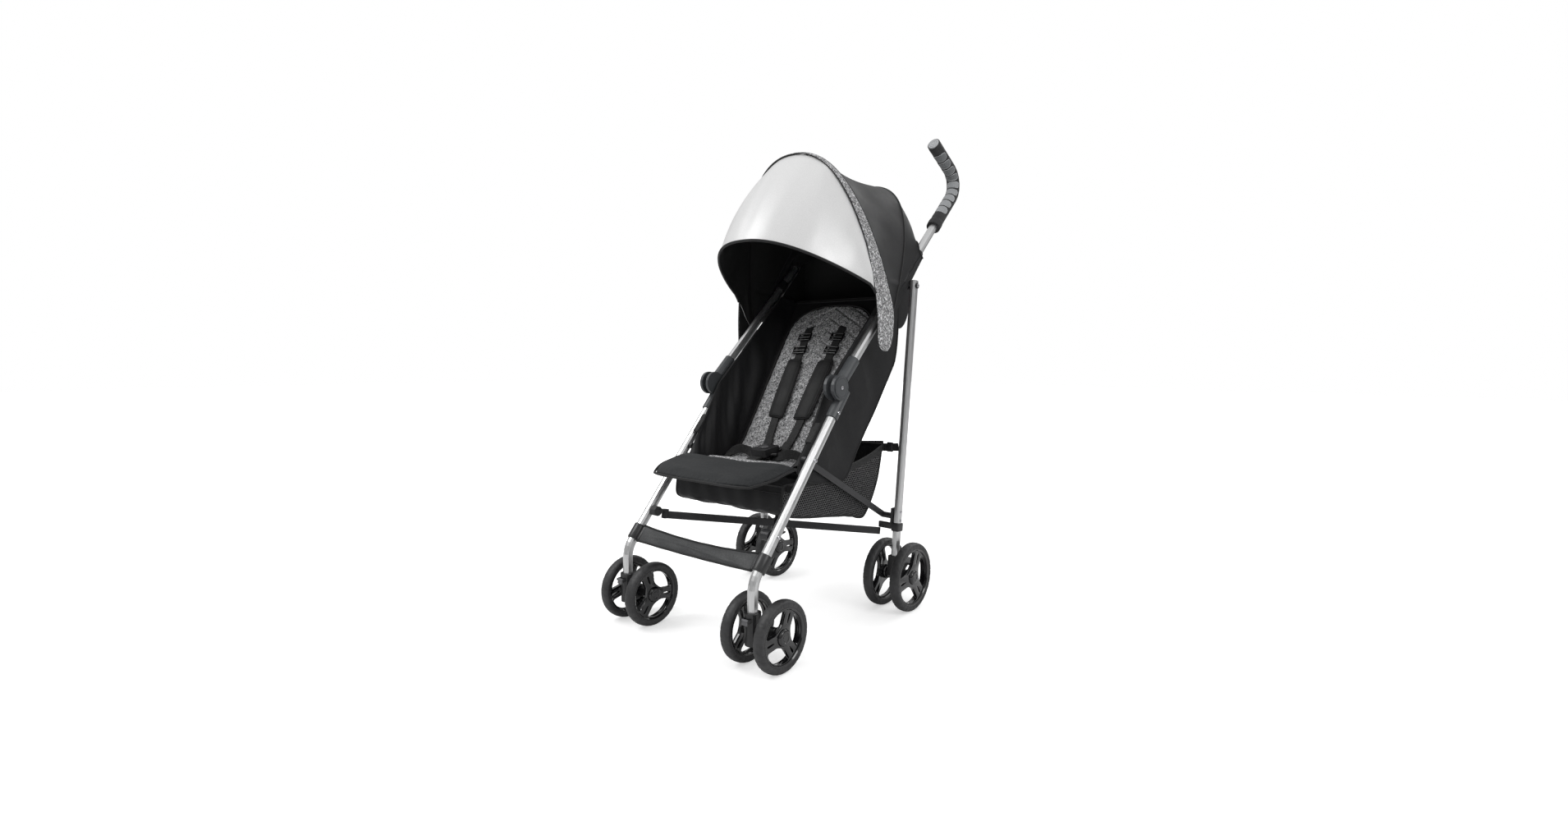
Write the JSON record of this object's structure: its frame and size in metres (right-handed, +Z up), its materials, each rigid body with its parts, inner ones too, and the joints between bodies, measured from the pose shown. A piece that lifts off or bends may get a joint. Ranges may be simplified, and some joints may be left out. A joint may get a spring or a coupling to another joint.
{
  "type": "lightweight stroller",
  "caption": "Folding umbrella stroller with an aluminium frame, reclining sling seat, canopy with visor, mesh basket and swivelling front casters.",
  "frame": {"origin": "on the floor, under the middle of the open stroller's box", "axes": "+Z up; the seat faces -Y; +X is across, the axis of every wheel and main hinge"},
  "size_m": [0.5106, 0.8202, 1.1423],
  "materials": {
    "aluminium_tube": "satin brushed",
    "hinge_plastic": "dark grey, fine texture",
    "black_plastic": "black satin",
    "grip_foam": "matte foam",
    "brace_black": "black satin",
    "rim_gloss": "gloss black",
    "tyre_rubber": "matte black",
    "nylon_black": "black woven",
    "heather_grey": "grey heather, quilted",
    "charcoal_cloth": "charcoal",
    "visor_silver": "silver grey coated",
    "lever_grey": "dark grey"
  },
  "bodies": {
    "seat": {"seat_sling": "nylon_black", "seat_pad": "heather_grey", "leg_rest": "charcoal_cloth", "basket": "nylon_black", "footrest": "nylon_black", "harness": "nylon_black"},
    "backrest": {"backrest_pad": "heather_grey"},
    "canopy": {"canopy_shell": "nylon_black"},
    "canopy_front": {"canopy_bow": "heather_grey"},
    "visor": {"canopy_visor": "visor_silver"},
    "buckle_lift": {"buckle": "black_plastic"},
    "button": {"buckle_button": "rim_gloss"},
    "front_right": {"front_leg_right": "aluminium_tube", "elbow_lower_right": "hinge_plastic", "caster_collar_right": "black_plastic"},
    "push_right": {"push_tube_right": "aluminium_tube", "elbow_upper_right": "hinge_plastic", "handle_grip_right": "grip_foam", "push_bracket_right": "black_plastic"},
    "rear_right": {"rear_leg_right": "aluminium_tube", "rear_foot_right": "black_plastic", "rear_bracket_right": "black_plastic"},
    "brace_right": {"side_brace_right": "brace_black"},
    "knuckle_right": {"brace_knuckle_right": "black_plastic"},
    "arm_right": {"under_brace_right": "brace_black"},
    "caster_right": {"caster_fork_right": "black_plastic"},
    "lock_right": {"swivel_lock_right": "lever_grey"},
    "brake_right": {"brake_lever_right": "lever_grey"},
    "front_wheel_inner_right": {"front_rim_inner_right": "rim_gloss", "front_tyre_inner_right": "tyre_rubber"},
    "front_wheel_outer_right": {"front_rim_outer_right": "rim_gloss", "front_tyre_outer_right": "tyre_rubber"},
    "rear_wheel_inner_right": {"rear_rim_inner_right": "rim_gloss", "rear_tyre_inner_right": "tyre_rubber"},
    "rear_wheel_outer_right": {"rear_rim_outer_right": "rim_gloss", "rear_tyre_outer_right": "tyre_rubber"},
    "front_left": {"front_leg_left": "aluminium_tube", "elbow_lower_left": "hinge_plastic", "caster_collar_left": "black_plastic"},
    "push_left": {"push_tube_left": "aluminium_tube", "elbow_upper_left": "hinge_plastic", "handle_grip_left": "grip_foam", "push_bracket_left": "black_plastic"},
    "rear_left": {"rear_leg_left": "aluminium_tube", "rear_foot_left": "black_plastic", "rear_bracket_left": "black_plastic"},
    "brace_left": {"side_brace_left": "brace_black"},
    "knuckle_left": {"brace_knuckle_left": "black_plastic"},
    "arm_left": {"under_brace_left": "brace_black"},
    "caster_left": {"caster_fork_left": "black_plastic"},
    "lock_left": {"swivel_lock_left": "lever_grey"},
    "brake_left": {"brake_lever_left": "lever_grey"},
    "front_wheel_inner_left": {"front_rim_inner_left": "rim_gloss", "front_tyre_inner_left": "tyre_rubber"},
    "front_wheel_outer_left": {"front_rim_outer_left": "rim_gloss", "front_tyre_outer_left": "tyre_rubber"},
    "rear_wheel_inner_left": {"rear_rim_inner_left": "rim_gloss", "rear_tyre_inner_left": "tyre_rubber"},
    "rear_wheel_outer_left": {"rear_rim_outer_left": "rim_gloss", "rear_tyre_outer_left": "tyre_rubber"}
  },
  "joints": [
    {"name": "width_right", "type": "slide", "parent": "seat", "child": "front_right", "axis": [-1, 0, 0], "range_m": [0, 0.12024]},
    {"name": "frame_fold_right", "type": "hinge", "parent": "front_right", "child": "push_right", "pos_m": [0.187, -0.1152, 0.531], "axis": [1, 0, 0], "range_deg": [0, 186.4], "deforming": ["seat_sling", "seat_pad", "backrest_pad", "leg_rest", "basket", "footrest", "harness", "canopy_shell", "canopy_bow", "canopy_visor"]},
    {"name": "rear_leg_right", "type": "hinge", "parent": "push_right", "child": "rear_right", "pos_m": [0.2085, 0.16486, 0.76498], "axis": [1, 0, 0], "range_deg": [-40.18, 0]},
    {"name": "side_brace_right", "type": "hinge", "parent": "front_right", "child": "brace_right", "pos_m": [0.1655, -0.1976, 0.385], "axis": [1, 0, 0], "range_deg": [0, 78.96]},
    {"name": "knuckle_right", "type": "hinge", "parent": "front_right", "child": "knuckle_right", "pos_m": [0.1765, -0.31013, 0.248], "axis": [1, 0, 0], "range_deg": [0, 65.93]},
    {"name": "under_brace_right", "type": "hinge", "parent": "knuckle_right", "child": "arm_right", "pos_m": [0.164, -0.2844, 0.24429], "axis": [0, 0.1426, 0.9898], "range_deg": [-31.76, 0]},
    {"name": "caster_right", "type": "hinge", "parent": "front_right", "child": "caster_right", "pos_m": [0.187, -0.3732, 0.093], "axis": [0, 0, 1], "continuous": true},
    {"name": "swivel_lock_right", "type": "hinge", "parent": "front_right", "child": "lock_right", "pos_m": [0.187, -0.393, 0.10475], "axis": [1, 0, 0], "range_deg": [-70, 0]},
    {"name": "brake_right", "type": "hinge", "parent": "rear_right", "child": "brake_right", "pos_m": [0.2065, 0.13772, 0.1006], "axis": [1, 0, 0], "range_deg": [-22, 0]},
    {"name": "front_wheel_inner_right", "type": "hinge", "parent": "caster_right", "child": "front_wheel_inner_right", "pos_m": [0.145, -0.3402, 0.07], "axis": [1, 0, 0], "continuous": true},
    {"name": "front_wheel_outer_right", "type": "hinge", "parent": "caster_right", "child": "front_wheel_outer_right", "pos_m": [0.229, -0.3402, 0.07], "axis": [1, 0, 0], "continuous": true},
    {"name": "rear_wheel_inner_right", "type": "hinge", "parent": "rear_right", "child": "rear_wheel_inner_right", "pos_m": [0.1705, 0.11622, 0.0806], "axis": [1, 0, 0], "continuous": true},
    {"name": "rear_wheel_outer_right", "type": "hinge", "parent": "rear_right", "child": "rear_wheel_outer_right", "pos_m": [0.2425, 0.11622, 0.0806], "axis": [1, 0, 0], "continuous": true},
    {"name": "width_left", "type": "slide", "parent": "seat", "child": "front_left", "axis": [1, 0, 0], "range_m": [0, 0.12024]},
    {"name": "frame_fold_left", "type": "hinge", "parent": "front_left", "child": "push_left", "pos_m": [-0.187, -0.1152, 0.531], "axis": [1, 0, 0], "range_deg": [0, 186.77]},
    {"name": "rear_leg_left", "type": "hinge", "parent": "push_left", "child": "rear_left", "pos_m": [-0.2085, 0.16486, 0.76498], "axis": [1, 0, 0], "range_deg": [-40.18, 0]},
    {"name": "side_brace_left", "type": "hinge", "parent": "front_left", "child": "brace_left", "pos_m": [-0.1655, -0.1976, 0.385], "axis": [1, 0, 0], "range_deg": [0, 78.96]},
    {"name": "knuckle_left", "type": "hinge", "parent": "front_left", "child": "knuckle_left", "pos_m": [-0.1765, -0.31013, 0.248], "axis": [1, 0, 0], "range_deg": [0, 65.93]},
    {"name": "under_brace_left", "type": "hinge", "parent": "knuckle_left", "child": "arm_left", "pos_m": [-0.164, -0.2844, 0.24429], "axis": [0, 0.1426, 0.9898], "range_deg": [0, 31.76]},
    {"name": "caster_left", "type": "hinge", "parent": "front_left", "child": "caster_left", "pos_m": [-0.187, -0.3732, 0.093], "axis": [0, 0, 1], "continuous": true},
    {"name": "swivel_lock_left", "type": "hinge", "parent": "front_left", "child": "lock_left", "pos_m": [-0.187, -0.393, 0.10475], "axis": [1, 0, 0], "range_deg": [-70, 0]},
    {"name": "brake_left", "type": "hinge", "parent": "rear_left", "child": "brake_left", "pos_m": [-0.2065, 0.13772, 0.1006], "axis": [1, 0, 0], "range_deg": [-22, 0]},
    {"name": "front_wheel_inner_left", "type": "hinge", "parent": "caster_left", "child": "front_wheel_inner_left", "pos_m": [-0.145, -0.3402, 0.07], "axis": [1, 0, 0], "continuous": true},
    {"name": "front_wheel_outer_left", "type": "hinge", "parent": "caster_left", "child": "front_wheel_outer_left", "pos_m": [-0.229, -0.3402, 0.07], "axis": [1, 0, 0], "continuous": true},
    {"name": "rear_wheel_inner_left", "type": "hinge", "parent": "rear_left", "child": "rear_wheel_inner_left", "pos_m": [-0.1705, 0.11622, 0.0806], "axis": [1, 0, 0], "continuous": true},
    {"name": "rear_wheel_outer_left", "type": "hinge", "parent": "rear_left", "child": "rear_wheel_outer_left", "pos_m": [-0.2425, 0.11622, 0.0806], "axis": [1, 0, 0], "continuous": true},
    {"name": "canopy_carry", "type": "hinge", "parent": "seat", "child": "canopy", "pos_m": [0, -0.1152, 0.531], "axis": [1, 0, 0], "range_deg": [0, 186.77]},
    {"name": "buckle_lift", "type": "hinge", "parent": "seat", "child": "buckle_lift", "pos_m": [0, -0.31013, 0.248], "axis": [1, 0, 0], "range_deg": [0, 65.93]},
    {"name": "recline", "type": "hinge", "parent": "seat", "child": "backrest", "pos_m": [0, -0.0762, 0.378], "axis": [1, 0, 0], "range_deg": [-30, 0], "deforming": ["seat_sling", "backrest_pad", "harness"]},
    {"name": "canopy_fold", "type": "hinge", "parent": "canopy", "child": "canopy_front", "pos_m": [0, 0.0568, 0.65893], "axis": [1, 0, 0], "range_deg": [-36, 0], "deforming": ["canopy_shell", "canopy_visor"]},
    {"name": "visor_fold", "type": "hinge", "parent": "canopy_front", "child": "visor", "pos_m": [0, 0.0568, 0.65893], "axis": [1, 0, 0], "range_deg": [-34, 0], "deforming": ["canopy_shell", "canopy_visor"]},
    {"name": "buckle_button", "type": "slide", "parent": "buckle_lift", "child": "button", "axis": [0, 0.1396, -0.9902], "range_m": [0, 0.003], "stiffness_N_per_m": 400}
  ],
  "couplings": [
    {"joint": "width_right", "follows": "frame_fold_right", "m_per_rad": 0.036886},
    {"joint": "rear_leg_right", "follows": "frame_fold_right", "ratio": -0.21513},
    {"joint": "side_brace_right", "follows": "frame_fold_right", "ratio": 0.42275},
    {"joint": "knuckle_right", "follows": "frame_fold_right", "ratio": 0.353},
    {"joint": "under_brace_right", "follows": "frame_fold_right", "ratio": -0.17006},
    {"joint": "width_left", "follows": "frame_fold_right", "m_per_rad": 0.036886},
    {"joint": "frame_fold_left", "follows": "frame_fold_right", "ratio": 1},
    {"joint": "rear_leg_left", "follows": "frame_fold_right", "ratio": -0.21513},
    {"joint": "side_brace_left", "follows": "frame_fold_right", "ratio": 0.42275},
    {"joint": "knuckle_left", "follows": "frame_fold_right", "ratio": 0.353},
    {"joint": "under_brace_left", "follows": "frame_fold_right", "ratio": 0.17006},
    {"joint": "canopy_carry", "follows": "frame_fold_right", "ratio": 1},
    {"joint": "buckle_lift", "follows": "frame_fold_right", "ratio": 0.353}
  ]
}
